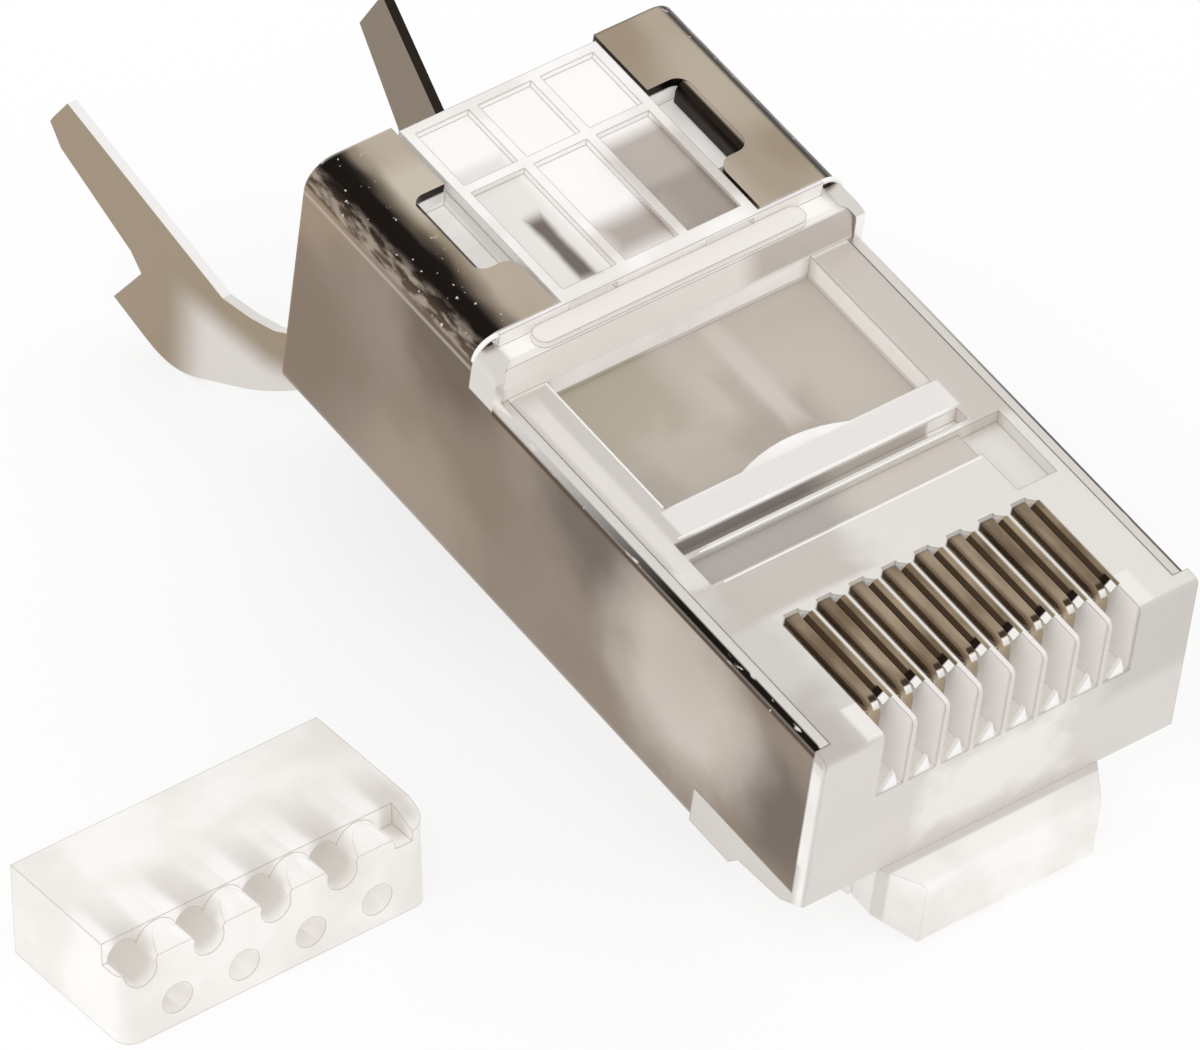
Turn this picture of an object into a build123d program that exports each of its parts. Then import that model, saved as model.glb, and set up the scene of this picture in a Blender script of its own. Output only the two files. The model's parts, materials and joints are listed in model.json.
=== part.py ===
"""A shielded eight-contact modular plug, its latch free, with its load bar lying beside it.

The plug is drawn in its own frame, contacts up: X across, Y back from the nose face and Z up from
the nose top, in millimetres. At the end it is laid on the table as it rests, on its chin and on
the tip of its latch, and the origin is put under the middle of the whole.
"""

import os
from math import atan2, cos, degrees, radians, sin

from build123d import *

os.makedirs("parts", exist_ok=True)

# Plug body.
plug_width = 11.68
nose_height = 6.6
step_height = 1.4
nose_length = 15.0
body_length = 22.1
corner_radius = 0.85
floor_radius = 0.5
sheet = 0.28
fit = 0.03
edge_round = 0.2
core_inset = 0.2
least_round = 0.05
ledge_length = 1.05
ledge_drop = 0.45
ledge_slope = 0.15
lip_reach = 0.15
lip_half = 5.1
strip_half = 3.1
rib_width = 0.3
panel_depth = 0.2
rear_panel = 2.7
step_bar_half = 4.25
step_bar_width = 0.64
lip_slot_start = 1.4
lip_slot_length = 1.5
lip_slot_height = 0.22

# Relief window, groove and cable entry.
window_half = 4.2
window_front = 8.9
window_depth = 0.8
window_bulge = 0.35
window_bulge_half = 1.7
window_bulge_shift = -0.1
groove_front = 7.4
groove_width = 0.42
groove_depth = 0.45
trough_front = 6.25
trough_rear = 7.2
trough_left = 4.7
trough_depth = 0.2
pocket_inner = 3.8
pocket_outer = 5.05
pocket_front = 4.8
pocket_depth = 0.4
entry_width = 9.6
entry_height = 5.7
entry_radius = 1.4
entry_floor = 0.85

# Contacts.
contact_count = 8
contact_pitch = 1.02
blade_thickness = 0.38
blade_gap = 0.04
blade_front = 0.95
blade_length = 3.5
blade_height = 3.0
blade_drop = 0.1
blade_round = 0.45
tooth_count = 3
tooth_height = 0.8
crimp_travel = 0.6
mouth_width = 0.86
mouth_depth = 0.5
mouth_point = 0.25
mouth_end = 0.3
bay_wall = 0.35
face_slot_depth = 2.3
wire_space_top = 2.45
wire_space_floor = 4.4
wire_space_front = 1.3

# Load bar and its bay.
bar_width = 9.4
bar_depth = 4.75
bar_height = 2.85
bar_round = 0.5
bar_slope_run = 0.85
bar_slope_drop = 0.35
bar_gap = 0.06
bar_left = -20.7
ridge_radius = 0.62
ridge_top = 2.8
bar_front = 9.25
bar_bay_top = 1.8
wire_bore = 0.9
wire_shift = -0.52
bore_height = 0.85
upper_bore_floor = 1.75

# Chin and latch.
chin_reach = 1.1
chin_drop = 0.97
chin_rise = 1.22
chin_half = 3.45
chin_front_half = 2.75
chin_floor_half = 2.6
chin_side_height = 0.45
hinge_y = 1.15
hinge_sink = 0.4
hinge_gap = 0.03
lever_thickness = 0.6
lever_length = 12.9
lever_slope = 14.1
lever_half = 1.625
shoulder_length = 4.7
shoulder_half = 3.05

# Shield.
shield_front = 0.5
skirt_length = 4.58
skirt_rise = 1.34
foot_rise = 0.1
toe_run = 0.86
toe_rise = 0.7
heel_run = 2.57
heel_rise = 0.5
foot_front = 2.93
rim_width = 0.45
rim_radius = 0.35
shoulder_rise = 0.75
shoulder_gap = 0.04
shoulder_run = 0.3
flap_edge = 3.2
notch_edge = 4.3
notch_back = 2.3
notch_length = 2.94
notch_round = 0.4
lobe_round = 0.45
tab_drop = 0.74
tab_margin = 0.15
tab_bend = 0.25
latch_cut_half = 3.65
latch_cut_end = 15.5

# Tail of the shield, bent down out of the cable's way.
tail_droop = 66.0
tail_bend = 0.44
tail_half = 3.5
tail_shift = 0.35
tail_length = 4.4
tail_edge = 0.4
tail_lap = 0.1
collar_reach = 1.7
collar_length = 3.1
collar_start = 1.2
neck_half = 2.4
wing_bend = 1.9
wing_flare = 8.0
wing_length = 9.9
wing_near = 4.5
wing_far = 6.3
wing_root = 3.3
wing_root_rise = 0.25
wing_hollow = 2.4
wing_hollow_length = 3.7
wing_tip_run = 0.7
wing_tip_drop = 0.45
wing_tip_lean = 0.1
lobe_reach = 5.6
lobe_length = 9.0
lobe_start = 4.2
lobe_bow = 2.1
lobe_turn = 7.5
lobe_nick = 0.4
lobe_nick_lean = 0.2
right_wing_cut = 0.95

# Sizes that follow from those above.
half_width = plug_width / 2
core_bottom = sheet + fit - nose_height
core_rear = body_length - core_inset
chin_depth = nose_height + chin_drop
chin_top = nose_height - chin_rise
hinge_drop = nose_height + hinge_sink
skirt_height = nose_height - skirt_rise
foot_height = nose_height - foot_rise
cross_rib = core_rear - rear_panel
notch_rear = body_length - notch_back
notch_front = notch_rear - notch_length
shoulder_top = step_height - sheet - shoulder_gap
ledge_front = nose_length - ledge_length
ledge_top = step_height - ledge_drop
rim_rear = ledge_front - fit
slot_width = blade_thickness + 2 * blade_gap
slot_rear = blade_front + blade_length + blade_gap
slot_depth = blade_drop + blade_height + crimp_travel + fit
contact_span = contact_pitch * (contact_count - 1)
bay_front = slot_rear + bay_wall
bay_half = bar_width / 2 + bar_gap
bay_bottom = -bar_bay_top - bar_height - 2 * bar_gap
entry_bottom = core_bottom + entry_floor
lever_radius = lever_thickness / 2


def block(x, y, z, mode=Mode.ADD):
    """Add or cut a block that runs between two places on each axis."""
    with Locations(((x[0] + x[1]) / 2, (y[0] + y[1]) / 2, (z[0] + z[1]) / 2)):
        Box(abs(x[1] - x[0]), y[1] - y[0], z[1] - z[0], mode=mode)


def across(corners, half, mode=Mode.ADD):
    """Extrude a side view, given by its (y, z) corners, to both sides of the plug's middle."""
    with BuildSketch(Plane.YZ) as view:
        with BuildLine():
            Polyline(*corners, close=True)
        make_face()
    extrude(view.sketch, amount=half, both=True, mode=mode)


def section(inset, top, top_radius, mode=Mode.ADD):
    """Draw the plug's cross-section, inset from its outside, up to a given top."""
    half = half_width - inset
    low = inset - nose_height
    high = top - inset
    upper = max(top_radius - inset, least_round)
    lower = floor_radius - inset
    with BuildLine() as outline:
        FilletPolyline(
            (-half, low), (half, low), (half, high), (-half, high), radius=(lower, lower, upper, upper), close=True
        )
    make_face(outline.edges(), mode=mode)


def band(rear, front, top, top_radius):
    """Add a closed band of the shield's sheet between two places along the plug."""
    with BuildSketch(Plane.XZ.offset(-rear)) as ring:
        section(0, top, top_radius)
        section(sheet, top, top_radius, Mode.SUBTRACT)
    extrude(ring.sketch, amount=rear - front)


# The underside of the nose, from its face back to the front edge of the shield's floor.
underside = [
    (0, -chin_top),
    (toe_run, toe_rise - nose_height),
    (heel_run, heel_rise - nose_height),
    (foot_front, -foot_height),
    (skirt_length - fit, -foot_height),
]

# Chin, which bulges out under the nose face and carries the latch at its rear.
with BuildPart() as chin:
    with BuildSketch(Plane.XY.offset(-chin_depth)):
        with BuildLine():
            Polyline(
                (-chin_half, hinge_y),
                (-chin_half, 0),
                (-chin_front_half, -chin_reach),
                (chin_front_half, -chin_reach),
                (chin_half, 0),
                (chin_half, hinge_y),
                close=True,
            )
        make_face()
    extrude(amount=chin_depth - chin_top)
    with BuildSketch(Plane.XZ.offset(-hinge_y)):
        with BuildLine():
            Polyline(
                (-chin_half, -chin_top),
                (-chin_half, chin_side_height - chin_depth),
                (-chin_floor_half, -chin_depth),
                (chin_floor_half, -chin_depth),
                (chin_half, chin_side_height - chin_depth),
                (chin_half, -chin_top),
                close=True,
            )
        make_face()
    extrude(amount=hinge_y + chin_reach, mode=Mode.INTERSECT)
    fillet(chin.edges().filter_by(Axis.X).group_by(Axis.Y)[0], edge_round)
    with BuildSketch(Plane.YZ):
        with Locations((hinge_y, -hinge_drop)):
            Circle(lever_radius + hinge_gap)
    extrude(amount=half_width, both=True, mode=Mode.SUBTRACT)

# Housing: a single clear moulding.
with BuildPart() as housing:
    with BuildSketch(Plane.XZ.offset(-core_rear)):
        section(sheet + fit, step_height, corner_radius)
    extrude(amount=core_rear)
    across(
        underside
        + [
            (skirt_length - fit, -nose_height),
            (body_length, -nose_height),
            (body_length, step_height),
            (nose_length, step_height),
            (nose_length, ledge_top),
            (ledge_front + ledge_slope, ledge_top),
            (ledge_front, 0),
            (0, 0),
        ],
        plug_width,
        Mode.INTERSECT,
    )
    # The nose flange and the foot stand out to the full width of the shield.
    block((-half_width, half_width), (0, shield_front - fit), (-chin_top, 0))
    across([(0, -skirt_height - fit)] + underside + [(skirt_length - fit, -skirt_height - fit)], half_width)
    fillet(housing.edges().filter_by(Axis.X).group_by(Axis.Y)[0].sort_by(Axis.Z)[-1], edge_round)
    # The rims of the shield sink into the upper edges of the nose.
    for side in (-1, 1):
        rim = (side * (half_width - rim_width - fit), side * (half_width + 1))
        block(rim, (shield_front - fit, ledge_front), (-sheet - fit, 1), Mode.SUBTRACT)
    # A raised strip with sunk panels lies between the flaps, and a lip runs along their front edge.
    block((-strip_half, strip_half), (nose_length, core_rear), (ledge_top, step_height))
    block((-lip_half, lip_half), (nose_length - lip_reach, nose_length - fit), (ledge_top, step_height))
    block((-strip_half, strip_half), (nose_length - lip_reach, nose_length), (ledge_top, step_height))
    lip_slot_top = step_height - panel_depth / 2
    for side in (-1, 1):
        lip_slot = (side * lip_slot_start, side * (lip_slot_start + lip_slot_length))
        lip_slot_heights = (lip_slot_top - lip_slot_height, lip_slot_top)
        block(lip_slot, (nose_length - lip_reach, nose_length + rib_width / 2), lip_slot_heights, Mode.SUBTRACT)
    panel_width = (2 * strip_half - 4 * rib_width) / 3
    panel_ends = ((nose_length + rib_width, cross_rib), (cross_rib + rib_width, core_rear - rib_width))
    for front, rear in panel_ends:
        with Locations((0, (front + rear) / 2, step_height)):
            with GridLocations(panel_width + rib_width, 1, 3, 1):
                Box(panel_width, rear - front, 2 * panel_depth, mode=Mode.SUBTRACT)
    # Pockets take the tabs of the flaps.
    for side in (-1, 1):
        pocket = (side * (strip_half + fit), side * (notch_edge + sheet))
        block(pocket, (notch_front, notch_rear), (step_height - tab_drop - 2 * fit, step_height), Mode.SUBTRACT)
    # A bar with rounded ends stands on the step.
    with BuildSketch(Plane.XY.offset(ledge_top)):
        with Locations((0, nose_length - lip_reach - step_bar_width / 2 - fit)):
            SlotOverall(2 * step_bar_half, step_bar_width)
    extrude(amount=panel_depth)
    # Cable entry, bay of the load bar, and the space for the wires under the contacts.
    with BuildSketch(Plane.XZ.offset(-core_rear)):
        with Locations((0, entry_bottom + entry_height / 2)):
            RectangleRounded(entry_width, entry_height, entry_radius)
    extrude(amount=core_rear - nose_length + lip_reach, mode=Mode.SUBTRACT)
    block((-bay_half, bay_half), (bay_front, nose_length), (bay_bottom, -bar_bay_top), Mode.SUBTRACT)
    wires_half = contact_span / 2 + contact_pitch
    wire_heights = (-wire_space_floor, -wire_space_top)
    block((-wires_half, wires_half), (wire_space_front, bay_front + fit), wire_heights, Mode.SUBTRACT)
    # Relief window, whose floor is pressed on the cable and whose front edge bulges in the middle.
    with BuildSketch(Plane.XY.offset(-window_depth)):
        with BuildLine():
            bulge_left = (window_bulge_shift - window_bulge_half, window_front)
            bulge_right = (window_bulge_shift + window_bulge_half, window_front)
            Polyline(
                bulge_right,
                (window_half, window_front),
                (window_half, ledge_front),
                (-window_half, ledge_front),
                (-window_half, window_front),
                bulge_left,
            )
            ThreePointArc(bulge_left, (window_bulge_shift, window_front + window_bulge), bulge_right)
        make_face()
    extrude(amount=window_depth + step_height, mode=Mode.SUBTRACT)
    # Groove and shallow trough before the window, and a pocket at the trough's right end.
    groove = (groove_front, groove_front + groove_width)
    block((-trough_left, window_half), groove, (-groove_depth, step_height), Mode.SUBTRACT)
    trough = (trough_front, trough_rear)
    block((-trough_left, pocket_inner), trough, (-trough_depth, step_height), Mode.SUBTRACT)
    pocket_ends = (pocket_front, trough_rear)
    block((pocket_inner, pocket_outer), pocket_ends, (-pocket_depth, step_height), Mode.SUBTRACT)
    # Contact slots: a wide mouth, a deep opening in the nose face and a close guide for each blade.
    mouth = [
        (-mouth_width / 2, -1),
        (-mouth_width / 2, slot_rear - mouth_point),
        (-mouth_end / 2, slot_rear),
        (mouth_end / 2, slot_rear),
        (mouth_width / 2, slot_rear - mouth_point),
        (mouth_width / 2, -1),
    ]
    with BuildSketch(Plane.XY.offset(-mouth_depth)):
        for number in range(contact_count):
            place = number * contact_pitch - contact_span / 2
            with BuildLine():
                Polyline(*[(place + x, y) for x, y in mouth], close=True)
            make_face()
    extrude(amount=mouth_depth + step_height, mode=Mode.SUBTRACT)
    with Locations((0, (blade_front + blade_round - 1) / 2, 0)):
        with GridLocations(contact_pitch, 1, contact_count, 1):
            Box(mouth_width, blade_front + blade_round + 1, 2 * face_slot_depth, mode=Mode.SUBTRACT)
    with Locations((0, blade_front + blade_length / 2, 0)):
        with GridLocations(contact_pitch, 1, contact_count, 1):
            Box(slot_width, blade_length + 2 * blade_gap, 2 * slot_depth, mode=Mode.SUBTRACT)
    add(chin.part)

# Latch: the lever that bends at its root, wide up to its two shoulders.
slope = radians(lever_slope)
lever_side = Plane((0, hinge_y, -hinge_drop), x_dir=(0, cos(slope), -sin(slope)), z_dir=(1, 0, 0))
lever_plan = Plane((0, hinge_y, -hinge_drop), x_dir=(1, 0, 0), z_dir=(0, sin(slope), cos(slope)))
with BuildPart() as latch:
    with BuildSketch(lever_side):
        Circle(lever_radius)
        with Locations((lever_length / 2, 0)):
            Rectangle(lever_length, lever_thickness)
    extrude(amount=chin_half, both=True)
    with BuildSketch(lever_plan.offset(-lever_thickness)):
        with BuildLine():
            Polyline(
                (-chin_half, -1),
                (-chin_half, shoulder_length / 4),
                (-shoulder_half, shoulder_length),
                (-lever_half, shoulder_length),
                (-lever_half, lever_length + 1),
                (lever_half, lever_length + 1),
                (lever_half, shoulder_length),
                (shoulder_half, shoulder_length),
                (chin_half, shoulder_length / 4),
                (chin_half, -1),
                close=True,
            )
        make_face()
    extrude(amount=2 * lever_thickness, mode=Mode.INTERSECT)
    fillet(latch.faces().sort_by(Axis.Y)[-1].edges().filter_by(Axis.X), edge_round)

# Tail: a cradle with two wings, hung by a neck from the rear edge of the shield's floor.
droop = radians(tail_droop)
down = Vector(0, cos(droop), -sin(droop))
out = Vector(0, sin(droop), cos(droop))
neck_centre = body_length + tail_bend * sin(droop)
neck_level = sheet / 2 - nose_height - tail_bend * (1 - cos(droop))
neck_end = Vector(0, neck_centre, neck_level)
cradle_end = Vector(tail_shift, neck_centre, neck_level)
with BuildPart() as tail:
    with BuildSketch(Plane(cradle_end, x_dir=(-1, 0, 0), z_dir=down)):
        with BuildLine():
            spread = tail_half + wing_length * sin(radians(wing_flare))
            cradle = ((-spread, wing_length), (-tail_half, 0), (tail_half, 0), (spread, wing_length))
            FilletPolyline(*cradle, radius=wing_bend)
        trace(line_width=sheet)
    extrude(amount=lobe_length + 1)
    wing_side = Plane(neck_end, x_dir=out, z_dir=(-1, 0, 0))
    with BuildSketch(wing_side):
        with BuildLine():
            Polyline(
                (collar_reach, collar_length),
                (tail_edge, collar_start),
                (tail_edge, 0),
                (-sheet, 0),
                (-sheet, tail_length),
                (tail_lap, tail_length),
            )
            Spline(
                (tail_lap, tail_length), (lobe_bow, lobe_turn), (lobe_start, lobe_length), tangents=((0.5, 1), (1, 0))
            )
            Polyline(
                (lobe_start, lobe_length),
                (lobe_reach, lobe_length),
                (lobe_reach - lobe_nick_lean, wing_far + wing_tip_run),
                (lobe_reach + lobe_nick, wing_far + lobe_nick),
                (wing_length - wing_tip_run, wing_far),
                (wing_length, wing_far - wing_tip_drop),
                (wing_length - wing_tip_lean, wing_near),
                (wing_root, wing_near - wing_root_rise),
                (wing_hollow, wing_hollow_length),
                (collar_reach, collar_length),
            )
        make_face()
    extrude(amount=plug_width, both=True, mode=Mode.INTERSECT)
    with BuildSketch(wing_side):
        with Locations((wing_length, lobe_length / 2)):
            Rectangle(2 * right_wing_cut, lobe_length)
    extrude(amount=-plug_width, mode=Mode.SUBTRACT)
    with BuildSketch(Plane.YZ):
        with BuildLine():
            run = Line((body_length - 1, sheet / 2 - nose_height), (body_length, sheet / 2 - nose_height))
            JernArc(run @ 1, (1, 0), tail_bend, -tail_droop)
        trace(line_width=sheet)
    extrude(amount=neck_half, both=True)

# Shield: one folded sheet with its flaps, rims and tail.
with BuildPart() as shield:
    band(body_length, rim_rear, step_height, corner_radius)
    band(rim_rear, shield_front, 0, rim_radius)
    opening = half_width - rim_width
    block((-opening, opening), (0, rim_rear), (-1, step_height), Mode.SUBTRACT)
    across(
        [
            (shield_front, 2 * step_height),
            (shield_front, shoulder_rise),
            (rim_rear, shoulder_rise),
            (rim_rear + shoulder_run, shoulder_top),
            (nose_length, shoulder_top),
            (nose_length, 2 * step_height),
        ],
        plug_width,
        Mode.SUBTRACT,
    )
    with BuildSketch(Plane.XY.offset(ledge_top)) as flap_plan:
        with Locations((0, body_length)):
            Rectangle(2 * flap_edge, 2 * (body_length - ledge_front))
        with Locations((0, (notch_front + notch_rear) / 2)):
            RectangleRounded(2 * notch_edge, notch_rear - notch_front, notch_round)
        lobes = flap_plan.vertices().filter_by(lambda corner: abs(abs(corner.X) - flap_edge) < fit)
        fillet(lobes.group_by(Axis.Y)[1], lobe_round)
    extrude(amount=step_height, mode=Mode.SUBTRACT)
    for side in (-1, 1):
        tab_level = step_height - sheet / 2
        tab_edge = notch_edge - sheet / 2
        with BuildSketch(Plane.XZ.offset(tab_margin - notch_rear)):
            with BuildLine():
                tab = ((tab_edge + sheet, tab_level), (tab_edge, tab_level), (tab_edge, step_height - tab_drop))
                FilletPolyline(*[(side * x, z) for x, z in tab], radius=tab_bend)
            trace(line_width=sheet)
        extrude(amount=notch_rear - notch_front - 2 * tab_margin)
    block((-latch_cut_half, latch_cut_half), (0, latch_cut_end), (-nose_height - 1, core_bottom), Mode.SUBTRACT)
    skirt = [(0, -skirt_height), (skirt_length, -skirt_height), (skirt_length, -chin_depth), (0, -chin_depth)]
    across(skirt, plug_width, Mode.SUBTRACT)
    add(tail.part)


def make_contact(place):
    """Make the contact blade whose middle lies at a place across the plug."""
    top = -blade_drop
    root = top - blade_height + tooth_height
    rear = blade_front + blade_length
    tooth = blade_length / tooth_count
    teeth = []
    for number in range(tooth_count):
        start = blade_front + number * tooth
        teeth += [(start, root), (start + tooth / 2, root - tooth_height)]
    with BuildPart() as blade:
        with BuildSketch(Plane.YZ.offset(place - blade_thickness / 2)):
            with BuildLine():
                Polyline((blade_front, top), *teeth, (rear, root), (rear, top), close=True)
            make_face()
        extrude(amount=blade_thickness)
        fillet(blade.edges().filter_by(Axis.X).group_by(Axis.Z)[-1].sort_by(Axis.Y)[0], blade_round)
    return blade


contacts = []
for number in range(contact_count):
    contacts.append(make_contact(number * contact_pitch - contact_span / 2))

# Load bar: two staggered rows of round bores hold the wires.
bar_middle = bar_left + bar_width / 2
bar_rear = bar_front + bar_depth
wires = bar_middle + wire_shift
with BuildPart() as load_bar:
    with BuildSketch(Plane.YZ.offset(bar_left)):
        with BuildLine():
            Polyline(
                (bar_front, 0),
                (bar_front, bar_height - bar_slope_drop),
                (bar_front + bar_slope_run, bar_height),
                (bar_rear, bar_height),
                (bar_rear, 0),
                close=True,
            )
        make_face()
    extrude(amount=bar_width)
    fillet(load_bar.faces().sort_by(Axis.Y)[0].edges().filter_by(Axis.Z), bar_round)
    bore_radius = wire_bore / 2
    ridge_level = ridge_top - ridge_radius
    # The front edge is scooped out between round ridges, so that the upper bores open in its slope.
    with BuildSketch(Plane.XZ.offset(-bar_front - bar_slope_run)):
        with Locations((wires, ridge_level + bar_height / 2)):
            Rectangle(contact_pitch * contact_count + 2 * ridge_radius, bar_height)
        with Locations((wires + contact_pitch / 2, ridge_level)):
            with GridLocations(2 * contact_pitch, 1, contact_count // 2, 1):
                Circle(ridge_radius, mode=Mode.SUBTRACT)
    extrude(amount=bar_slope_run, mode=Mode.SUBTRACT)
    with BuildSketch(Plane.XZ.offset(-bar_rear)):
        with Locations((wires + contact_pitch / 2, bore_height)):
            with GridLocations(2 * contact_pitch, 1, contact_count // 2, 1):
                Circle(bore_radius)
        with Locations((wires - contact_pitch / 2, upper_bore_floor + bore_radius)):
            with GridLocations(2 * contact_pitch, 1, contact_count // 2, 1):
                Circle(bore_radius)
    extrude(amount=bar_depth, mode=Mode.SUBTRACT)

# The plug leans on the rounded edge of its chin and on the rounded tip of its latch.
tip_along = lever_length - edge_round
tip_below = edge_round - lever_radius
tip_y = hinge_y + tip_along * cos(slope) + tip_below * sin(slope)
tip_z = -hinge_drop - tip_along * sin(slope) + tip_below * cos(slope)
chin_y = edge_round - chin_reach
chin_z = edge_round - chin_depth
tilt = degrees(atan2(chin_z - tip_z, tip_y - chin_y))

plug = [housing, latch, shield] + contacts
for piece in plug:
    piece.part.move(Location((0, 0, 0), (tilt, 0, 0)))
lift = Vector(0, 0, -min(piece.part.bounding_box().min.Z for piece in plug))
for piece in plug:
    piece.part.move(Location(lift))

# The origin lies under the middle of everything.
pieces = plug + [load_bar]
around = Compound([piece.part for piece in pieces]).bounding_box()
centring = Vector(-around.center().X, -around.center().Y, 0)
for piece in pieces:
    piece.part.move(Location(centring))

names = ["housing", "latch", "shield"] + [f"contact_{number + 1}" for number in range(contact_count)] + ["load_bar"]
for name, piece in zip(names, pieces):
    piece.part.label = name
    export_step(piece.part, f"parts/{name}.step")
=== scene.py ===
"""Looks of a shielded eight-contact modular plug with its load bar lying beside it.

Everything is placed in the plug's own frame, in millimetres: x across, y back from the nose face and
z up from the nose top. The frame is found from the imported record, so the looks follow the model.
"""

import json
import logging
import math
from dataclasses import dataclass, field
from enum import Enum
from typing import Optional, Protocol, Union

import bmesh
import bpy
from mathutils import Euler, Matrix, Vector


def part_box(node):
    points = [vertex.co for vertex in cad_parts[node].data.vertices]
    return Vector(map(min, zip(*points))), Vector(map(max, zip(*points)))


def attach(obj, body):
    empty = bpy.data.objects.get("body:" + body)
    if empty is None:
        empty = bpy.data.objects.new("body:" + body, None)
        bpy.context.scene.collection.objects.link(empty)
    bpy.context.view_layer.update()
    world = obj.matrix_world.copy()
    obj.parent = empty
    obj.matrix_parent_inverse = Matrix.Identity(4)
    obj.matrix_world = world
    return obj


log = logging.getLogger("scene")
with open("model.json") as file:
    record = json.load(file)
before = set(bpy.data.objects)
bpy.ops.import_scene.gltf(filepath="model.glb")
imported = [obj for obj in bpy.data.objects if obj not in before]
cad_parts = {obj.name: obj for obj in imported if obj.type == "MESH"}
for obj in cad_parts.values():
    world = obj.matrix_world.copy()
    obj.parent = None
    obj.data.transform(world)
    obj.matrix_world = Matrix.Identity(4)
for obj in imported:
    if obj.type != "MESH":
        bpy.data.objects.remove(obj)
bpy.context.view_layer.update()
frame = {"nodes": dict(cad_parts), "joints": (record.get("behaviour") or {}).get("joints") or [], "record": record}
MM = 0.001
FACE_DEPTH = 3.3
CONTACTS = 8
PITCH = 1.02

Tone = tuple[float, float, float, float]
Point = tuple[float, float, float]
Span = tuple[float, float]
Output = bpy.types.NodeSocket
Value = Union[float, Point, Tone, Vector, Euler, Output]

WHITE: Tone = (1.0, 1.0, 1.0, 1.0)
EVEN: Point = (1.0, 1.0, 1.0)
MIX_SHARE, MIX_FIRST, MIX_SECOND, MIX_RESULT = 0, 6, 7, 2


def plug_frame() -> Matrix:
    """Find the plug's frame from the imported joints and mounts.

    Returns:
        The matrix from plug millimetres to row metres.
    """
    press = next(joint for joint in frame["joints"] if joint["name"] == "contact_1_press")
    face = next(mount for mount in frame["record"]["mounts"] if mount["name"] == "jack_face")
    up = -Vector(press["axis"]).normalized()
    across = Vector((1, 0, 0))
    back = up.cross(across).normalized()
    origin = Vector(face["pos_m"]) + up * FACE_DEPTH * MM
    turn = Matrix((across, back, up)).transposed().to_4x4()
    return Matrix.Translation(origin) @ turn @ Matrix.Scale(MM, 4)


PLUG = plug_frame()


def linear(value: int) -> float:
    """Turn one part of a colour as seen, 0 to 255, into its linear value.

    Args:
        value: the part as seen.

    Returns:
        The linear value.
    """
    share = value / 255
    return share / 12.92 if share <= 0.04045 else ((share + 0.055) / 1.055) ** 2.4


def seen(red: int, green: int, blue: int) -> Tone:
    """Turn a colour as seen, 0 to 255, into the linear values of a socket.

    Args:
        red: its red part.
        green: its green part.
        blue: its blue part.

    Returns:
        The linear colour, with full alpha.
    """
    return (linear(red), linear(green), linear(blue), 1.0)


class Body(Enum):
    """The body that the added pieces ride on."""

    PLUG = "plug_body"


class Slot(Enum):
    """The record's material slots."""

    PLASTIC = "clear_plastic"
    SHEET = "nickel_sheet"
    CONTACT = "contact_metal"


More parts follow.
